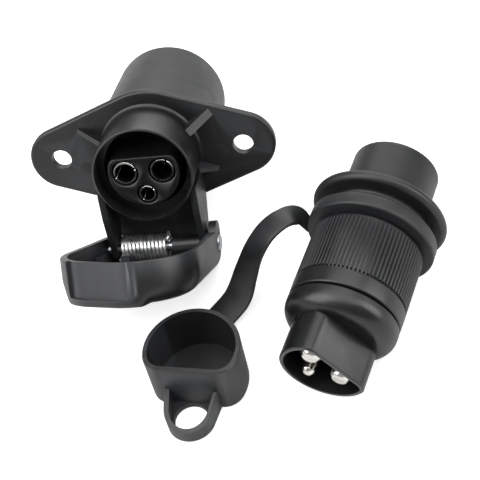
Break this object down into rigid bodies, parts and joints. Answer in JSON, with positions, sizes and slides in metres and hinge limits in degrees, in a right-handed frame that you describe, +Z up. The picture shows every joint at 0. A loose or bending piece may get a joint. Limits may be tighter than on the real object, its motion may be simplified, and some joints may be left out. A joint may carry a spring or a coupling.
{
  "type": "trailer wiring connector",
  "caption": "Keyed trailer wiring socket with a sprung hinged lid and flange, its round plug with pins, and a tethered keyed dust cap.",
  "frame": {"origin": "on the floor under the middle of the whole set, socket, plug and cap as they lie", "axes": "+Z up, -Y the way the socket's mouth faces, +X from the socket to the plug"},
  "size_m": [0.1316, 0.139, 0.0525],
  "materials": {
    "moulded_nylon": "moulded glass-filled nylon, satin",
    "soft_pvc": "moulded soft PVC, matte",
    "nickel_plated_brass": "turned and nickel plated, bright",
    "zinc_plated_steel": "zinc plated",
    "spring_steel": "drawn spring wire, bright"
  },
  "bodies": {
    "socket": {"socket_housing": "moulded_nylon", "contact_carrier": "moulded_nylon", "carrier_retaining_ring": "moulded_nylon", "contact_large_left": "nickel_plated_brass", "contact_large_right": "nickel_plated_brass", "contact_small": "nickel_plated_brass", "terminal_screw_large_left": "zinc_plated_steel", "terminal_screw_large_right": "zinc_plated_steel", "terminal_screw_small": "zinc_plated_steel", "rear_cover": "soft_pvc", "hinge_pin": "zinc_plated_steel", "lid_spring": "spring_steel"},
    "lid": {"lid": "moulded_nylon", "lid_seal": "soft_pvc"},
    "plug": {"plug_front_body": "moulded_nylon", "pin_carrier": "moulded_nylon", "pin_large_left": "nickel_plated_brass", "pin_large_right": "nickel_plated_brass", "pin_small": "nickel_plated_brass", "pin_screw_large_left": "zinc_plated_steel", "pin_screw_large_right": "zinc_plated_steel", "pin_screw_small": "zinc_plated_steel", "plug_seal_ring": "soft_pvc", "plug_rear_body": "soft_pvc", "cable_grommet": "soft_pvc"},
    "grip_sleeve": {"knurled_sleeve": "moulded_nylon"},
    "tether": {"strap_ring": "soft_pvc", "cap_strap": "soft_pvc", "dust_cap": "soft_pvc"}
  },
  "joints": [
    {"name": "lid_hinge", "type": "hinge", "parent": "socket", "child": "lid", "pos_m": [-0.0254, -0.00013, 0.0082], "axis": [1, 0, 0], "range_deg": [-70, 3], "deforming": ["lid_spring"]},
    {"name": "plug_lift", "type": "slide", "parent": "socket", "child": "plug", "axis": [0.7071, 0, 0.7071], "range_m": [0, 0.12]},
    {"name": "sleeve_turn", "type": "hinge", "parent": "plug", "child": "grip_sleeve", "pos_m": [0.0459, -0.00603, 0.02089], "axis": [-0.327, -0.9391, -0.1057], "continuous": true},
    {"name": "cap_swivel", "type": "hinge", "parent": "plug", "child": "tether", "pos_m": [0.0459, -0.00603, 0.02089], "axis": [0.327, 0.9391, 0.1057], "range_deg": [-180, 3]}
  ]
}
